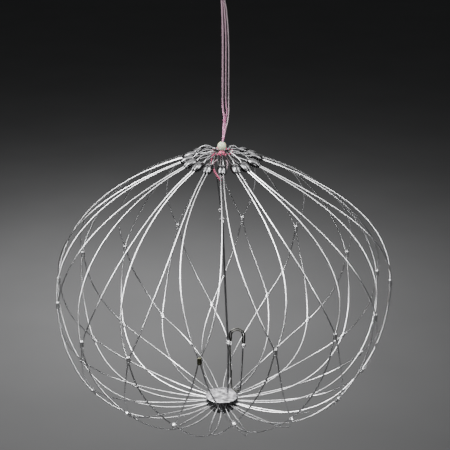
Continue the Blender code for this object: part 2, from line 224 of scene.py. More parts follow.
def turned_mesh(profile, steps):
    """Verts and faces of a profile of (radius, height), top to bottom, spun about Z."""
    verts, faces, rings = [], [], []
    for r, z in profile:
        if r < 1e-7:
            rings.append([len(verts)])
            verts.append(Vector((0, 0, z)))
        else:
            rings.append(list(range(len(verts), len(verts) + steps)))
            verts += [Vector((r * cos(2 * pi * i / steps), r * sin(2 * pi * i / steps), z))
                      for i in range(steps)]
    for a, b in zip(rings, rings[1:]):
        for i in range(steps):
            j = (i + 1) % steps
            quad = [a[i % len(a)], b[i % len(b)], b[j % len(b)], a[j % len(a)]]
            face = [v for n, v in enumerate(quad) if v not in quad[:n]]
            if len(face) > 2:
                faces.append(tuple(face))
    return verts, faces


# ---- materials ----------------------------------------------------------------------------------
class Maker:
    """Small wrapper that adds nodes and links them."""

    def __init__(self, name):
        self.mat = bpy.data.materials.new(name)
        self.mat.use_nodes = True
        self.tree = self.mat.node_tree
        self.shader = self.tree.nodes["Principled BSDF"]
        self.coords = self.tree.nodes.new("ShaderNodeTexCoord").outputs["Object"]

    def noise(self, scale, detail=3.0, rough=0.5, stretch=None):
        node = self.tree.nodes.new("ShaderNodeTexNoise")
        node.inputs["Scale"].default_value = scale
        node.inputs["Detail"].default_value = detail
        node.inputs["Roughness"].default_value = rough
        source = self.coords
        if stretch:
            mapping = self.tree.nodes.new("ShaderNodeMapping")
            mapping.inputs["Scale"].default_value = stretch
            self.tree.links.new(source, mapping.inputs["Vector"])
            source = mapping.outputs["Vector"]
        self.tree.links.new(source, node.inputs["Vector"])
        return node.outputs["Fac"]

    def voronoi(self, scale, feature="F1", output="Color"):
        node = self.tree.nodes.new("ShaderNodeTexVoronoi")
        node.feature = feature
        node.inputs["Scale"].default_value = scale
        self.tree.links.new(self.coords, node.inputs["Vector"])
        return node.outputs[output]

    def ramp(self, value, stops):
        node = self.tree.nodes.new("ShaderNodeValToRGB")
        while len(node.color_ramp.elements) < len(stops):
            node.color_ramp.elements.new(0.5)
        for element, (position, colour) in zip(node.color_ramp.elements, stops):
            element.position = position
            element.color = (*colour, 1.0) if len(colour) == 3 else colour
        self.tree.links.new(value, node.inputs["Fac"])
        return node.outputs["Color"]

    def mix(self, factor, a, b, blend="MIX"):
        node = self.tree.nodes.new("ShaderNodeMix")
        node.data_type = "RGBA"
        node.blend_type = blend
        for socket, value in ((node.inputs["Factor"], factor), (node.inputs["A"], a),
                              (node.inputs["B"], b)):
            self.put(socket, value)
        return node.outputs["Result"]

    def range(self, value, low, high):
        node = self.tree.nodes.new("ShaderNodeMapRange")
        node.inputs["To Min"].default_value = low
        node.inputs["To Max"].default_value = high
        self.tree.links.new(value, node.inputs["Value"])
        return node.outputs["Result"]

    def near(self, point, inner, outer):
        """1 within the inner distance of a point, 0 past the outer one."""
        node = self.tree.nodes.new("ShaderNodeVectorMath")
        node.operation = "DISTANCE"
        self.tree.links.new(self.coords, node.inputs[0])
        node.inputs[1].default_value = point
        fall = self.tree.nodes.new("ShaderNodeMapRange")
        fall.inputs["From Min"].default_value = inner
        fall.inputs["From Max"].default_value = outer
        fall.inputs["To Min"].default_value = 1.0
        fall.inputs["To Max"].default_value = 0.0
        self.tree.links.new(node.outputs["Value"], fall.inputs["Value"])
        return fall.outputs["Result"]

    def put(self, socket, value):
        if isinstance(value, bpy.types.NodeSocket):
            self.tree.links.new(value, socket)
        elif isinstance(value, tuple) and len(value) == 3:
            socket.default_value = (*value, 1.0)
        else:
            socket.default_value = value

    def set(self, **values):
        for key, value in values.items():
            self.put(self.shader.inputs[key.replace("_", " ").title().replace("Ior", "IOR")], value)

    def bump(self, height, strength, distance):
        node = self.tree.nodes.new("ShaderNodeBump")
        node.inputs["Strength"].default_value = strength
        node.inputs["Distance"].default_value = distance
        self.tree.links.new(height, node.inputs["Height"])
        self.tree.links.new(node.outputs["Normal"], self.shader.inputs["Normal"])


def wire_material(name, bright, dull, rough=(0.24, 0.4), metal=0.9, painted_shade_at=None):
    """Drawn steel wire: bright, with duller stretches and fine handling marks.

    Round the given point, where the eyes gather the wires at the top, the colour is darkened to grey as
    painted shade.
    """
    m = Maker(name)
    patches = m.noise(130, 4, 0.6)
    marks = m.noise(1900, 2, 0.6)
    colour = m.ramp(patches, [(0.36, dull), (0.62, bright)])
    # painted shade: the wire is darkened to grey round the eyes at the top
    if painted_shade_at:
        colour = m.mix(m.near(painted_shade_at, 0.022, 0.040), colour, (0.34, 0.34, 0.345), "MULTIPLY")
    spots = m.ramp(marks, [(0.28, (0.7, 0.68, 0.66)), (0.42, (1, 1, 1))])
    m.set(base_color=m.mix(0.5, colour, spots, "MULTIPLY"),
          roughness=m.range(patches, rough[1], rough[0]))
    m.set(metallic=metal)
    m.bump(marks, 0.012, 0.00004)
    return m.mat


def weight_material():
    """Cast zinc: grey, slightly grainy, with a painted highlight on each lobe towards its outer end and
    painted shade at both ends.
    """
    m = Maker("weight_zinc")
    grain = m.noise(900, 4, 0.6)
    cloud = m.noise(210, 3, 0.55)
    base = m.ramp(cloud, [(0.3, (0.10, 0.10, 0.103)), (0.7, (0.20, 0.20, 0.205))])
    pits = m.ramp(grain, [(0.3, (0.45, 0.45, 0.46)), (0.5, (1, 1, 1))])
    # painted highlight: a small near-white spot on each lobe towards its outer end
    for x in (-LEG_HALF, LEG_HALF):
        crown = m.near((1.3 * x, WEIGHT_HIGHLIGHT_Y, 0.0025), 0.0004, 0.0014)
        base = m.mix(crown, base, (0.95, 0.95, 0.96))
    # painted shade: both ends of the weight, round the bore mouths, are darkened nearly to black
    for y in (-WEIGHT_HALF_L, WEIGHT_HALF_L):
        base = m.mix(m.near((0, y, 0), 0.0014, 0.0026), base, (0.03, 0.03, 0.031))
    m.set(base_color=m.mix(0.7, base, pits, "MULTIPLY"), metallic=1.0,
          roughness=m.range(cloud, 0.30, 0.2))
    m.bump(grain, 0.12, 0.00008)
    return m.mat


def ferrule_material(name="ferrule_bright", tint=(0.82, 0.82, 0.83)):
    m = Maker(name)
    cloud = m.noise(420, 3, 0.5)
    dark = tuple(c * 0.62 for c in tint)
    m.set(base_color=m.ramp(cloud, [(0.35, dark), (0.6, tint)]), metallic=0.95,
          roughness=m.range(cloud, 0.4, 0.2))
    m.bump(m.noise(1500, 2), 0.25, 0.00008)
    return m.mat


def plate_material():
    """Galvanised sheet: bright and dull patches with dark smears."""
    m = Maker("galvanised_plate")
    flakes = m.voronoi(330)
    cloud = m.noise(120, 5, 0.7)
    smears = m.noise(105, 4, 0.6, (1.0, 2.4, 1.0))
    spangle = m.ramp(flakes, [(0.1, (0.52, 0.51, 0.53)), (0.9, (0.95, 0.95, 0.97))])
    patch = m.ramp(cloud, [(0.38, (0.30, 0.29, 0.30)), (0.5, (0.85, 0.85, 0.87)), (0.62, (1, 1, 1))])
    dark = m.ramp(smears, [(0.40, (0.14, 0.135, 0.14)), (0.52, (1, 1, 1))])
    m.set(base_color=m.mix(0.85, m.mix(0.8, spangle, patch, "MULTIPLY"), dark, "MULTIPLY"), metallic=0.6,
          roughness=m.range(cloud, 0.55, 0.28))
    m.bump(cloud, 0.35, 0.0004)
    return m.mat


def crown_material():
    m = Maker("crown_black")
    cloud = m.noise(260, 3, 0.6)
    m.set(base_color=m.ramp(cloud, [(0.35, (0.006, 0.006, 0.007)), (0.75, (0.028, 0.028, 0.03))]),
          metallic=0.0, roughness=m.range(cloud, 0.45, 0.7))
    m.bump(m.noise(1200, 3), 0.4, 0.0001)
    return m.mat


def cord_material(name, light, deep, far_tone=None):
    """Twisted nylon: fine fibres, paler where they are rubbed; the last colour given is the darker, greyer one
    it turns to far above the bead.
    """
    m = Maker(name)
    fibre = m.noise(3200, 3, 0.6, (1.0, 1.0, 0.25))
    cloud = m.noise(260, 3, 0.5)
    tone = m.ramp(cloud, [(0.35, deep), (0.65, light)])
    streak = m.ramp(fibre, [(0.3, (0.72, 0.66, 0.69)), (0.6, (1, 1, 1))])
    # the colour turns darker and greyer far above the bead
    if far_tone:
        tone = m.mix(m.near((0, 0, row((0, 0, BEAD_Z)).z), 0.028, 0.048), far_tone, tone)
    m.set(base_color=m.mix(0.8, tone, streak, "MULTIPLY"), roughness=0.62, sheen_weight=0.35,
          sheen_roughness=0.4)
    m.bump(fibre, 0.5, 0.00012)
    return m.mat


def bead_material():
    """Pale green-white plastic, faintly see-through."""
    m = Maker("bead_plastic")
    cloud = m.noise(300, 3, 0.5)
    m.set(base_color=m.ramp(cloud, [(0.3, (0.44, 0.50, 0.33)), (0.7, (0.56, 0.61, 0.44))]),
          roughness=m.range(cloud, 0.32, 0.45), subsurface_weight=0.25, subsurface_scale=0.002)
    m.bump(m.noise(500, 2), 0.05, 0.00005)
    return m.mat


def floor_material():
    m = Maker("floor_paper")
    cloud = m.noise(3, 2, 0.5)
    m.set(base_color=m.ramp(cloud, [(0.3, (0.43, 0.43, 0.435)), (0.7, (0.46, 0.46, 0.465))]),
          roughness=0.9)
    return m.mat


# the grey round HUB_Z + 0.255 is painted shade on the wire at the eyes
WIRE_MAT = wire_material("spring_wire", (0.95, 0.95, 0.96), (0.78, 0.78, 0.79), (0.2, 0.32), metal=1.0,
                         painted_shade_at=(0.0, 0.0, HUB_Z + 0.255))
DARK_WIRE_MAT = wire_material("rod_wire", (0.2, 0.2, 0.205), (0.1, 0.1, 0.105), (0.3, 0.5))
CLIP_MAT = wire_material("clip_wire", (0.17, 0.17, 0.158), (0.07, 0.07, 0.064), (0.14, 0.24), metal=1.0)
WEIGHT_MAT = weight_material()
FERRULE_MAT = ferrule_material()
OLIVE_MAT = ferrule_material("ferrule_tarnished", (0.15, 0.15, 0.10))
PLATE_MAT = plate_material()
CROWN_MAT = crown_material()
CORD_MAT = cord_material("cord_pink", (0.72, 0.36, 0.54), (0.55, 0.17, 0.34), (0.26, 0.16, 0.205))
PALE_CORD_MAT = cord_material("cord_pale", (0.58, 0.46, 0.50), (0.44, 0.30, 0.35), (0.24, 0.19, 0.21))
PURSE_MAT = cord_material("cord_rose", (0.80, 0.16, 0.30), (0.62, 0.08, 0.18))
BEAD_MAT = bead_material()


# ---- camera -------------------------------------------------------------------------------------
def make_camera():
    """Looks down on the hanging trap from the front."""
    data = bpy.data.cameras.new("camera")
    data.sensor_width = 36
    data.lens = LENS
    cam = bpy.data.objects.new("camera", data)
    bpy.context.scene.collection.objects.link(cam)
    cam.location = row(CAMERA_AT)
    aim = row(CAMERA_AIM)
    cam.rotation_mode = "QUATERNION"
    cam.rotation_quaternion = (aim - cam.location).to_track_quat("-Z", "Y")
    bpy.context.scene.camera = cam


# ---- cords --------------------------------------------------------------------------------------
# the same route as in part.py
PURSE_ROUTE = ((-0.0039, -0.0010, 0.2468), (-0.0064, -0.0030, 0.2462), (-0.0078, -0.0040, 0.2438),
               (-0.0069, -0.0043, 0.2380), (-0.0044, -0.0050, 0.2336), (-0.0012, -0.0052, 0.2308),
               (0.0020, -0.0050, 0.2328), (0.0040, -0.0046, 0.2382), (0.0052, -0.0036, 0.2440),
               (0.0041, -0.0022, 0.2468))


def free_cord(name, route, diameter, mat, slot, far_end, lay, nodes=(), with_pieces=(), per_span=8,
              **look):
    """A cord laid along a route. far_end, lay and with_pieces are not used."""
    points = [row(p) for p in catmull(route, per_span)]
    piece = strand(name, points, diameter, mat, **look)
    place(piece, "root", slot, *nodes)
    return piece


def make_cords():
    knot = make_loop_knot()
    exit_z = KNOT_Z + KNOT_HALF_H + 0.0003
    main = [(0, 0, exit_z), (0.0004, 0, 0.2600), (0.0010, 0, 0.2670), (0.0014, 0, 0.2750),
            (0.0018, 0, 0.2820), (0.0021, 0.0002, 0.2880), (0.0013, 0.0002, 0.2930), (0.0008, 0, 0.2980),
            (0.0008, 0, 0.3200), (0.0009, 0, 0.3450), (0.0008, 0, 0.3700), (0.0003, 0, 0.3880),
            (0, 0, CORD_TOP_Z - 0.001)]
    free_cord("pull_cord_strand_a", main, CORD_D * 0.8, CORD_MAT, "cord", "knot", "taut",
              ("pull_cord",), (knot,))
    second = [(0.0012, -0.0012, 0.2655), (0.0024, -0.0010, 0.2720), (0.0030, 0.0004, 0.2790),
              (0.0032, 0.0010, 0.2850), (0.0042, 0.0006, 0.2900), (0.0045, 0, 0.2940), (0.0038, 0, 0.3000),
              (0.0036, 0, 0.3200), (0.0037, 0, 0.3450), (0.0034, 0, 0.3700), (0.0022, 0, 0.3890),
              (0.0014, 0, CORD_TOP_Z - 0.001)]
    free_cord("pull_cord_strand_b", second, CORD_D * 0.6, CORD_MAT, "cord", "knot", "taut",
              twist=0.005, depth=0.1)
    third = [(0.0013, 0.0012, 0.2662), (0.0029, 0.0006, 0.2735), (0.0044, 0, 0.2800), (0.0054, 0, 0.2850),
             (0.0060, 0, 0.2900), (0.0063, 0, 0.2960), (0.0062, 0, 0.3020), (0.0062, 0, 0.3200),
             (0.0063, 0, 0.3450), (0.0056, 0, 0.3700), (0.0040, 0, 0.3880), (0.0024, 0, CORD_TOP_Z - 0.001)]
    free_cord("pull_cord_strand_c", third, STRAND_D * 0.85, PALE_CORD_MAT, "cord", "knot", "taut",
              twist=0.004, depth=0.1)
    free_cord("purse_bight", PURSE_ROUTE, PURSE_D, PALE_CORD_MAT, "cord", "object", "hanging",
              ("purse_cord",), per_span=6, depth=0.1)
    make_purse_tail()


def make_purse_tail():
    """Loose end of the purse cord, which lies along the left side of the bight."""
    tail = [(-0.0022, -0.0010, 0.2532), (-0.0054, -0.0030, 0.2534), (-0.0084, -0.0048, 0.2526),
            (-0.0094, -0.0056, 0.2490), (-0.0088, -0.0059, 0.2440), (-0.0080, -0.0062, 0.2400),
            (-0.0062, -0.0066, 0.2362), (-0.0036, -0.0072, 0.2322), (-0.0016, -0.0074, 0.2296),
            (-0.0010, -0.0074, 0.2282)]
    free_cord("purse_tail", tail, PURSE_D * 1.25, PURSE_MAT, "cord", "bare", "hanging", per_span=6,
              depth=0.1)


def make_loop_knot():
    """Overhand knot and upright eye at the top of the cord."""
    mid = CORD_TOP_Z + 0.0048
    turns = []
    for i in range(97):
        a = 2 * pi * i / 96
        # a trefoil flattened round the cord
        r = 0.0015 + 0.0013 * cos(3 * a)
        turns.append(row((r * cos(2 * a), r * sin(2 * a), mid + 0.0030 * sin(3 * a))))
    body = strand("loop_knot_turns", turns, CORD_D * 0.95, CORD_MAT)
    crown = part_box("hang_loop")[1].z - CORD_D / 2
    half = 0.0065
    waist = crown - half
    sides = [Vector((0.0010, 0, row((0, 0, mid)).z)), Vector((0.0022, 0, waist - 0.0085)),
             Vector((0.0055, 0, waist - 0.0035))]
    arc = [Vector((half * cos(pi * i / 8), 0, waist + half * sin(pi * i / 8))) for i in range(9)]
    eye = catmull(sides + arc + [Vector((-p.x, p.y, p.z)) for p in reversed(sides)], 6)
    loop = strand("loop_eye", eye, CORD_D, CORD_MAT)
    place(body, "root", "cord", "hang_loop")
    place(loop, "root", "cord")
    return body


# ---- fingers ------------------------------------------------------------------------------------
def bezier(points, t):
    u = 1 - t
    weights = (u ** 3, 3 * u * u * t, 3 * u * t * t, t ** 3)
    return tuple(sum(w * p[i] for w, p in zip(weights, points)) for i in range(2))


DIR = (cos(WEIGHT_TILT), -sin(WEIGHT_TILT))
LEG_START = (WEIGHT_R + 1.2 * WEIGHT_HALF * DIR[0], WEIGHT_Z + 1.2 * WEIGHT_HALF * DIR[1])
UPPER = (LEG_START, (LEG_START[0] + 0.072 * DIR[0], LEG_START[1] + 0.072 * DIR[1]),
         (WAIST_R, FOLD_Z + 0.0515), (WAIST_R, SLEEVE_Z))
LOWER = ((WAIST_R, SLEEVE_Z), (WAIST_R, SLEEVE_Z - 0.085), (0.103, -0.008), (RIB_END_R, RIB_END_Z))


def normal_at(curve, t):
    """Outward normal of a meridian curve that runs from the top down."""
    a, b = bezier(curve, max(t - 0.01, 0)), bezier(curve, min(t + 0.01, 1))
    dr, dz = b[0] - a[0], b[1] - a[1]
    length = hypot(dr, dz)
    return -dz / length, dr / length


def rib_sweep(t):
    """Azimuth of a rib past its waist crimp, in finger pitches from the finger."""
    return 0.5 + 0.775 * t + 2.003 * t ** 2 - 1.528 * t ** 3


def make_shifts():
    """Where each crimp sits off its nominal place: lift, sideways and outward shift, in metres."""
    return [[(up * 0.001, aside * 0.001, RNG.uniform(-0.001, 0.001)) for up, aside in offsets]
            for offsets in (WAIST_OFFSETS, LOWER_OFFSETS)]


def leg_points(k, side, waist, lower, wander):
    """Waypoints of one leg in the hub frame, from the weight to the hub, and its two crimps' places."""
    azimuth = FIRST_AZIMUTH + k * PITCH
    at_waist = waist[k if side > 0 else (k - 1) % FINGERS]
    at_lower = lower[(k + side) % FINGERS]
    points, crimps = [], []
    half_chord = WAIST_R * sin(PITCH / 2)
    upper_ts = (0.0, 0.1, 0.22, 0.36, 0.5, 0.64, 0.78, 0.9, 1.0)
    for t in upper_ts:
        r, z = bezier(UPPER, t)
        across = LEG_HALF + (half_chord - LEG_HALF) * t ** 2.5
        nr, nz = normal_at(UPPER, t)
        layer = side * 0.0007 * t ** 2
        share = t * t * (3 - 2 * t)
        wave = sin(pi * t) ** 2
        r += nr * (layer + wander[0] * wave) + at_waist[2] * share
        z += nz * (layer + wander[0] * wave) + at_waist[0] * share
        lean = radians(TOP_LEANS[k]) * (1 - t) ** 2
        a = azimuth + lean + side * asin(across / r) + (at_waist[1] * share + wander[1] * wave) / r
        points.append(around(0, r, z, a))
    crimps.append(len(points) - 1)
    lower_ts = (0.1, 0.2, 0.29, LOWER_T, 0.5, 0.6, CROSS_T, 0.8, 0.9, 1.0)
    for t in lower_ts:
        r, z = bezier(LOWER, t)
        nr, nz = normal_at(LOWER, t)
        past = max(t - LOWER_T, 0) / (1 - LOWER_T)
        layer = side * (0.0007 + 0.0003 * sin(pi * past))
        if t <= LOWER_T:
            s = t / LOWER_T
            s = s * s * (3 - 2 * s)
            lift, slip, out = (a * (1 - s) + b * s for a, b in zip(at_waist, at_lower))
            wave = wander[2] * sin(pi * t / LOWER_T) ** 2
        else:
            wave = wander[3] * sin(pi * past) ** 2
            s = max(1 - past * 1.4, 0) ** 2
            lift, slip, out = (a * s for a in at_lower)
        dr, dz = -nz, nr
        along = lift / max(abs(dz), 0.5) if dz else 0.0
        r += nr * (layer + out) + dr * along * 0.5
        z += nz * (layer + out) + lift * (0.5 + 0.5 * abs(dz))
        a = azimuth + side * PITCH * rib_sweep(t) + (slip + wave) / max(r, 0.03)
        points.append(around(0, r, z, a))
        if t == LOWER_T:
            crimps.append(len(points) - 1)
    return points, crimps


def eye_points(k, lean):
    """Upright eye of a finger from its right bore to its left one, hub frame."""
    azimuth = FIRST_AZIMUTH + k * PITCH + radians(TOP_LEANS[k])
    inner = (WEIGHT_R - WEIGHT_HALF * DIR[0], WEIGHT_Z - WEIGHT_HALF * DIR[1])
    mid, tip = (lift * 0.001 for lift in EYE_LIFTS[k])
    raw = [(LEG_HALF, *inner), (0.0012, 0.0235, 0.2522 + mid * 0.6), (0.0008, 0.0200, 0.2538 + mid),
           (0.0004, 0.0155, 0.2555 + mid), (0.0, 0.0112, 0.2563 + mid * 0.4 + tip * 0.7),
           (0.0, 0.0086, 0.2557 + tip), (-0.0001, 0.0077, 0.2542 + tip * 0.6),
           (-0.0004, 0.0092, 0.2529 + tip * 0.3), (-0.0009, 0.0160, 0.2513 + tip * 0.2),
           (-0.0013, 0.0215, 0.2503), (-LEG_HALF, *inner)]
    out = []
    for i, (across, r, z) in enumerate(raw):
        free = sin(pi * i / (len(raw) - 1))
        out.append(around(across + lean * free, r, z, azimuth))
    return out


def make_fingers():
    waist, lower = make_shifts()
    found = {"waist": [[] for _ in range(FINGERS)], "lower": [[] for _ in range(FINGERS)]}
    for k in range(FINGERS):
        jitter = [RNG.uniform(-1, 1) for _ in range(10)]
        legs = {}
        for side in (1, -1):
            pick = jitter[:4] if side > 0 else jitter[4:8]
            wander = (pick[0] * 0.0012, pick[1] * 0.0018, pick[2] * 0.0016, pick[3] * 0.0012)
            points, crimps = leg_points(k, side, waist, lower, wander)
            legs[side] = catmull(points, 8)
            for ring, index, place_in in (("waist", crimps[0], k if side > 0 else (k - 1) % FINGERS),
                                          ("lower", crimps[1], (k + side) % FINGERS)):
                mid = index * 8
                tangent = (legs[side][mid + 3] - legs[side][mid - 3]).normalized()
                found[ring][place_in].append((legs[side][mid], tangent))
        eye = catmull(eye_points(k, 0.0008 * jitter[9]), 7)
        route = list(reversed(legs[1])) + eye + legs[-1]
        piece = wire(f"wire_finger_{k + 1:02d}", [row(p) for p in route], WIRE_D, WIRE_MAT)
        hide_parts(f"finger_{k + 1:02d}")
        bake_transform(piece)
    return found


# ---- crimped ferrules ---------------------------------------------------------------------------
def ferrule(name, centre, axis, wide, size, mat):
    """Short oval sleeve squeezed on two wires. size is (half width, half thickness, length)."""
    half_w, half_t, length = size
    axis = axis.normalized()
    wide = (wide - axis * wide.dot(axis)).normalized()
    thick = axis.cross(wide)
    stations = ((0.0, 0.78), (0.04, 0.92), (0.12, 1.0), (0.25, 0.99), (0.33, 0.9), (0.42, 0.985),
                (0.58, 1.0), (0.67, 0.89), (0.75, 0.98), (0.88, 1.0), (0.96, 0.93), (1.0, 0.78))
    sides = 16
    verts, faces = [], []
    for s, scale in stations:
        for j in range(sides):
            a = 2 * pi * j / sides
            squeeze = 1 - 0.10 * exp(-(abs(s - 0.5) / 0.3) ** 2) * abs(sin(a)) ** 3
            verts.append(centre + axis * (s - 0.5) * length + wide * cos(a) * half_w * scale
                         + thick * sin(a) * half_t * scale * squeeze)
    for i in range(len(stations) - 1):
        for j in range(sides):
            k = (j + 1) % sides
            faces.append((i * sides + j, i * sides + k, (i + 1) * sides + k, (i + 1) * sides + j))
    faces.append(tuple(range(sides - 1, -1, -1)))
    faces.append(tuple((len(stations) - 1) * sides + j for j in range(sides)))
    return mesh_object(name, verts, faces, mat)


def make_ferrules(found):
    """One crimp on every crossing of the two rings."""
    for ring, length in (("waist", 0.0066), ("lower", 0.0060)):
        for j, hits in enumerate(found[ring]):
            centre = row((hits[0][0] + hits[1][0]) / 2)
            axis = hits[0][1] + hits[1][1]
            out = Vector((centre.x, centre.y, 0)).normalized()
            wide = axis.cross(out)
            turn = Matrix.Rotation(RNG.uniform(-0.35, 0.35), 3, axis.normalized())
            size = (0.00215, 0.0020, length * RNG.uniform(0.92, 1.08))
            mat = OLIVE_MAT if ring == "waist" and j == 15 else FERRULE_MAT
            piece = ferrule(f"crimp_{ring}_{j + 1:02d}", centre, axis, turn @ wide, size, mat)
            place(piece, "root", "ferrule", *([f"rib_pair_{j + 1:02d}"] if ring == "waist" else []))


# ---- weights ------------------------------------------------------------------------------------
def weight_mesh():
    """Cast weight along Y: two lobes side by side that part into two nipples at each end."""
    rows, sides = 22, 32
    half_l, lobe_x, tall = WEIGHT_HALF_L, 0.0015, 1.16
    verts, faces = [], []
    for i in range(rows + 1):
        u = -cos(pi * i / rows)
        lobe = 0.00108 + 0.0019 * max(1 - u * u, 0.0) ** 0.75
        for j in range(sides):
            a = 2 * pi * j / sides
            gap = max(lobe ** 2 - (lobe_x * sin(a)) ** 2, (0.45 * lobe) ** 2)
            r = lobe_x * abs(cos(a)) + sqrt(gap)
            verts.append(Vector((r * cos(a), half_l * u, tall * r * sin(a))))
    for i in range(rows):
        for j in range(sides):
            k = (j + 1) % sides
            faces.append((i * sides + j, i * sides + k, (i + 1) * sides + k, (i + 1) * sides + j))
    faces.append(tuple(range(sides - 1, -1, -1)))
    faces.append(tuple(rows * sides + j for j in range(sides)))
    return verts, faces


def bored_weight():
    """The weight with its two bores cut, as one shared mesh."""
    base = mesh_object("weight_base", *weight_mesh(), WEIGHT_MAT)
    tools = []
    for x in (-LEG_HALF, LEG_HALF):
        bm = bmesh.new()
        bmesh.ops.create_cone(bm, cap_ends=True, segments=16, radius1=0.00085, radius2=0.00085, depth=0.03,
                              matrix=Matrix.Translation((x, 0, 0)) @ Matrix.Rotation(pi / 2, 4, "X"))
        mesh = bpy.data.meshes.new("bore")
        bm.to_mesh(mesh)
        bm.free()
        tool = bpy.data.objects.new("bore", mesh)
        bpy.context.scene.collection.objects.link(tool)
        mod = base.modifiers.new("bore", "BOOLEAN")
        mod.operation = "DIFFERENCE"
        mod.object = tool
        tools.append(tool)
    bpy.context.view_layer.update()
    mesh = bpy.data.meshes.new_from_object(base.evaluated_get(bpy.context.evaluated_depsgraph_get()))
    mesh.name = "weight"
    for obj in (base, *tools):
        bpy.data.objects.remove(obj, do_unlink=True)
    mesh.shade_smooth()
    mesh.set_sharp_from_angle(angle=radians(50))
    return mesh


def make_weights():
    mesh = bored_weight()
    for k in range(FINGERS):
        azimuth = FIRST_AZIMUTH + k * PITCH + radians(TOP_LEANS[k])
        obj = bpy.data.objects.new(f"cast_weight_{k + 1:02d}", mesh)
        bpy.context.scene.collection.objects.link(obj)
        roll = RNG.uniform(-0.12, 0.12)
        obj.matrix_world = (Matrix.Translation(row(around(0, WEIGHT_R, WEIGHT_Z, azimuth)))
                            @ Matrix.Rotation(azimuth, 4, "Z") @ Matrix.Rotation(WEIGHT_TILT, 4, "X")
                            @ Matrix.Rotation(roll, 4, "Y"))
        place(obj, f"finger_body_{k + 1:02d}", "weight_zinc", f"weight_{k + 1:02d}")


def make_purse_ring():
    """The cord that threads the eyes: each finger carries the piece that passes through its own eye."""
    for k in range(FINGERS):
        azimuth = FIRST_AZIMUTH + k * PITCH
        points = []
        for i in range(13):
            s = i / 12 - 0.5
            swell = 0.0007 * cos(2 * pi * s)
            points.append(row(around(0, 0.0097 + swell, 0.2546 + swell, azimuth + s * PITCH * 1.04)))
        piece = strand(f"purse_thread_{k + 1:02d}", points, PURSE_D * 0.75, PURSE_MAT, twist=0.003,
                       depth=0.1)
        place(piece, f"finger_body_{k + 1:02d}", "cord")


# ---- hub ----------------------------------------------------------------------------------------
def make_hub():
    rim = 0.0006
    profile = [(0, 0.0001), (0.0022, 0.0001), (0.004, -0.0001), (0.009, -0.00005), (0.0125, -0.00015),
               (PLATE_R - rim, -0.0004), (PLATE_R - rim * 0.35, -0.00055), (PLATE_R, -0.0009),
               (PLATE_R - 0.0002, -PLATE_T + 0.0001), (PLATE_R - rim, -PLATE_T), (0.006, -PLATE_T),
               (0, -PLATE_T)]
    verts, faces = turned_mesh(profile, 64)
    dents = [(RNG.uniform(0.003, 0.013), RNG.uniform(0, 2 * pi), RNG.uniform(0.0012, 0.003),
              RNG.uniform(-0.00028, 0.00012)) for _ in range(14)]
    for v in verts:
        for r, a, wide, deep in dents:
            d2 = (v.x - r * cos(a)) ** 2 + (v.y - r * sin(a)) ** 2
            v.z += deep * exp(-d2 / wide ** 2)
    plate = mesh_object("hub_plate", [row(v) for v in verts], faces, PLATE_MAT)
    plate.location.z = PLATE_Z
    place(plate, "root", "hub_plate", "hub_top_plate")
    make_crown()


def make_crown():
    """Black crown under the plate: a drum and a flange with a post between every two wires."""
    profile = [(0, SPOOL_TOP_Z), (SPOOL_CORE_R, SPOOL_TOP_Z), (SPOOL_CORE_R, SPOOL_FLANGE_Z + 0.0006),
               (SPOOL_CORE_R + 0.0006, SPOOL_FLANGE_Z), (SPOOL_FLANGE_R - 0.0004, SPOOL_FLANGE_Z),
               (SPOOL_FLANGE_R, SPOOL_FLANGE_Z - 0.0004), (SPOOL_FLANGE_R, SPOOL_EDGE_Z),
               (SPOOL_FLANGE_R - 0.0005, SPOOL_EDGE_Z - 0.0006),
               (SPOOL_BOTTOM_R + 0.0004, SPOOL_BOTTOM_Z + 0.0004),
               (SPOOL_BOTTOM_R - 0.0002, SPOOL_BOTTOM_Z), (0.004, SPOOL_BOTTOM_Z), (0, SPOOL_BOTTOM_Z)]
    verts, faces = turned_mesh(profile, 48)
    drum = mesh_object("hub_crown", [row(v) for v in verts], faces, CROWN_MAT)
    place(drum, "root", "hub_spool", "hub_spool")
    count = 2 * FINGERS
    for i in range(count):
        azimuth = FIRST_AZIMUTH + i * PITCH / 2
        foot = around(0, 0.0141, SPOOL_FLANGE_Z - 0.0003, azimuth)
        head = around(0, 0.0146 + RNG.uniform(-0.0003, 0.0003), SPOOL_TOP_Z + 0.0002, azimuth)
        post = wire(f"crown_post_{i + 1:02d}", [row(p) for p in catmull([foot, (foot + head) / 2, head], 3)],
                    0.0013, CROWN_MAT, 8)
        place(post, "root", "hub_spool")


# ---- rod and bait clip --------------------------------------------------------------------------
ROD_ROUTE = ((0.0055, 0.0040, PLATE_Z - 0.0002), (0.0060, 0.0036, 0.050), (0.0046, 0.0028, 0.082),
             (0.0026, 0.0016, 0.130), (0.0006, 0.0006, 0.182))
LINK_ROUTE = ((0.0005, 0.0004, 0.1885), (-0.0006, 0.0000, 0.1895), (-0.0012, 0.0001, 0.1930),
              (-0.0011, 0.0006, 0.1965), (-0.0018, 0.0004, 0.2050), (-0.0032, 0.0002, 0.2170),
              (-0.0043, -0.0010, 0.2275), (-0.0044, -0.0034, 0.2312), (-0.0030, -0.0056, 0.2322),
              (-0.0012, -0.0064, 0.2305), (-0.0010, -0.0058, 0.2288))


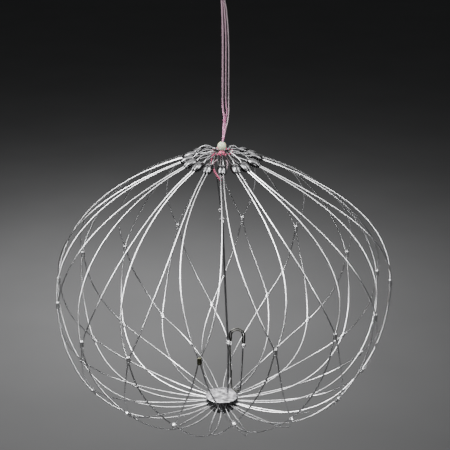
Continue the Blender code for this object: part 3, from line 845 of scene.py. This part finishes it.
def make_rod():
    rod = wire("centre_rod_wire", [row(p) for p in catmull(ROD_ROUTE, 10)], ROD_D, DARK_WIRE_MAT, 12)
    place(rod, "root", "rod_wire", "centre_rod")
    top = Vector(ROD_ROUTE[-1])
    loop = [top + Vector((0.0, 0.0, -0.002))]
    for i in range(15):
        a = -pi / 2 + 2 * pi * 0.93 * i / 14
        loop.append(top + Vector((0.0016 * cos(a) - 0.0003, 0.0006 * i / 14, 0.0048 + 0.0020 * sin(a))))
    place(wire("rod_eye", [row(p) for p in catmull(loop, 3)], 0.0013, FERRULE_MAT), "root", "ferrule")
    link = wire("eye_link", [row(p) for p in catmull(LINK_ROUTE, 7)], 0.0012, DARK_WIRE_MAT)
    place(link, "root", "rod_wire")
    up = Vector((0, 0, 1))
    for name, centre, size in (("rod_crimp_low", top + Vector((0.0, 0, 0.0006)), (0.0017, 0.0015, 0.0056)),
                               ("link_crimp", Vector((-0.0017, 0.0004, 0.1965)), (0.0015, 0.0012, 0.0030))):
        place(ferrule(name, row(centre), up, Vector((1, 0, 0)), size, FERRULE_MAT), "root", "ferrule")


def arch_run(radius):
    """One run of the clip's top bend, from beside the rod over to the latch."""
    x, z = ARCH_CENTRE
    bend = [Vector((x - radius * cos(pi * i / 12), 0, z + radius * sin(pi * i / 12))) for i in range(13)]
    middle = (ARCH_OUTER_R + ARCH_INNER_R) / 2
    return bend + [Vector((x + radius, 0, ARCH_FOOT_Z + 0.001)),
                   Vector((x + radius * 0.6 + middle * 0.4, 0, ARCH_FOOT_Z - 0.003))]


def make_bait_clip():
    px, py, pz = CLIP_PIVOT
    half = 0.0039
    axle = [Vector((px, py + half, pz)), Vector((px, py - half, pz)),
            Vector((px - 0.0026, py - half, pz + 0.0008)), Vector((px - 0.0046, py - half * 0.8, pz + 0.0028))]
    hook = catmull(axle + [Vector(p) for p in CLIP_STEM] + arch_run(ARCH_OUTER_R), 6)
    place(wire("bait_hook_wire", [row(p) for p in hook], CLIP_D, CLIP_MAT), "root", "clip_wire", "bait_hook")
    # the wire's other run, inside the first, down into the ferrule on the rod
    x = ARCH_CENTRE[0] - ARCH_INNER_R
    back = [Vector((x - 0.0006, 0.0002, FERRULE_Z + 0.0010)), Vector((x, 0, FERRULE_Z + 0.0050))]
    back = catmull(back + arch_run(ARCH_INNER_R), 6)
    place(wire("bait_hook_return", [row(p) for p in back], CLIP_D, CLIP_MAT), "root", "clip_wire")
    centre = row((0.0068, 0.0016, FERRULE_Z))
    place(ferrule("rod_crimp", centre, Vector((0, 0, 1)), Vector((1, -0.7, 0)), (0.0038, 0.0022, 0.0040),
                  FERRULE_MAT), "root", "ferrule", "rod_ferrule")
    ball = turned_mesh([(0, 0.0025), (0.0012, 0.0022), (0.0019, 0.0013), (0.0022, 0.0), (0.0019, -0.0013),
                        (0.0012, -0.0022), (0, -0.0025)], 24)
    at = Vector((ARCH_CENTRE[0] + (ARCH_OUTER_R + ARCH_INNER_R) / 2, 0, LATCH_Z + 0.0006))
    place(mesh_object("latch", [row(v + at) for v in ball[0]], ball[1], FERRULE_MAT), "root", "ferrule",
          "latch_bead")
    pitch, turns = CLIP_D * 1.12, 2
    coil = []
    for i in range(turns * 24 + 1):
        turn = i / 24
        coil.append(CLIP_PIVOT + Vector((COIL_R * cos(2 * pi * turn), (turn - turns / 2) * pitch,
                                         COIL_R * sin(2 * pi * turn))))
    run = [coil[-1].lerp(PIN_TOP, t) + Vector((0.0003 * sin(pi * t), 0, 0))
           for t in (0.08, 0.3, 0.5, 0.75, 1.0)]
    pin = coil + catmull(run, 4)
    pin_wire = wire("bait_pin_wire", [row(p) for p in pin], CLIP_D, DARK_WIRE_MAT)
    place(pin_wire, "pin", "clip_wire", "bait_pin")


# ---- bead and knot ------------------------------------------------------------------------------
def make_bead():
    bore = 0.0014
    profile = []
    for i in range(25):
        a = asin(bore / BEAD_R) + (pi - 2 * asin(bore / BEAD_R)) * i / 24
        ridge = 0.00012 * exp(-((a - pi / 2) / 0.05) ** 2)
        profile.append((BEAD_R * sin(a) ** 0.93 + ridge, BEAD_HALF_H * cos(a)))
    lip = profile[0][1]
    profile = [(bore * 0.86, lip - 0.0006)] + [(bore, lip + 0.00005)] + profile[1:-1]
    profile += [(bore, -lip - 0.00005), (bore * 0.86, -lip + 0.0006), (bore * 0.86, lip - 0.0006)]
    verts, faces = turned_mesh(profile, 40)
    tilt = Matrix.Rotation(radians(9), 3, "Y")
    verts = [row(tilt @ v + Vector((0, 0, BEAD_Z))) for v in verts]
    bead = mesh_object("stop_bead_shell", verts, faces, BEAD_MAT)
    bm = bmesh.new()
    bm.from_mesh(bead.data)
    bmesh.ops.remove_doubles(bm, verts=bm.verts, dist=1e-6)
    bm.to_mesh(bead.data)
    bm.free()
    place(bead, "bead", "bead_plastic", "stop_bead")


def make_purse_knot():
    """Turns of the purse cord gathered under the bead."""
    points = []
    for i in range(121):
        s = i / 120
        a = 2 * pi * 3.5 * s
        r = 0.0021 * (0.55 + 0.45 * sin(pi * s))
        points.append(row((r * cos(a), r * sin(a), KNOT_Z + KNOT_HALF_H * (0.5 * s + 0.62))))
    knot = strand("purse_knot_turns", points, 0.0015, PURSE_MAT, twist=0.004, depth=0.12)
    place(knot, "root", "cord", "purse_knot")


# ---- light and floor ----------------------------------------------------------------------------
def area_light(name, location, aim, size, power, spread=180):
    data = bpy.data.lights.new(name, "AREA")
    data.shape = "RECTANGLE"
    data.size, data.size_y = size
    data.energy = power
    data.spread = radians(spread)
    obj = bpy.data.objects.new(name, data)
    bpy.context.scene.collection.objects.link(obj)
    obj.location = location
    obj.rotation_mode = "QUATERNION"
    obj.rotation_quaternion = (Vector(aim) - Vector(location)).to_track_quat("-Z", "Y")


def make_studio():
    floor_z = HUB_Z - 1.5
    size = 14.0
    verts = [(-size, -size, floor_z), (size, -size, floor_z), (size, size, floor_z), (-size, size, floor_z)]
    floor = mesh_object("floor", verts, [(0, 1, 2, 3)], floor_material(), smooth=False)
    centre = (0, 0, HUB_Z + 0.12)
    area_light("overhead", (0.0, -0.15, HUB_Z + 1.0), centre, (1.3, 1.1), 6, 90)
    area_light("high_left", (-0.8, -0.2, HUB_Z + 0.9), centre, (0.6, 0.8), 3.2, 80)
    area_light("left", (-0.9, -0.45, HUB_Z + 0.85), centre, (0.5, 0.9), 4.2, 80)
    area_light("right", (0.9, -0.5, HUB_Z + 0.85), centre, (0.5, 0.9), 3.2, 80)
    area_light("front", (-0.35, -1.4, HUB_Z + 0.25), centre, (0.14, 0.14), 3.5)
    area_light("behind", (0.0, 1.5, HUB_Z + 0.95), centre, (1.6, 0.8), 1.6, 60)
    area_light("floor_wash", (-0.3, 3.5, HUB_Z - 0.15), (-0.3, 3.5, floor_z), (1.4, 1.4), 13.5)
    world = bpy.data.worlds.new("studio")
    bpy.context.scene.world = world
    world.use_nodes = True
    back = world.node_tree.nodes["Background"]
    back.inputs["Color"].default_value = (0.2, 0.205, 0.21, 1)
    back.inputs["Strength"].default_value = 0.1


make_camera()
make_cords()
make_ferrules(make_fingers())
make_weights()
make_purse_ring()
make_hub()
make_rod()
make_bait_clip()
make_bead()
make_purse_knot()
make_studio()
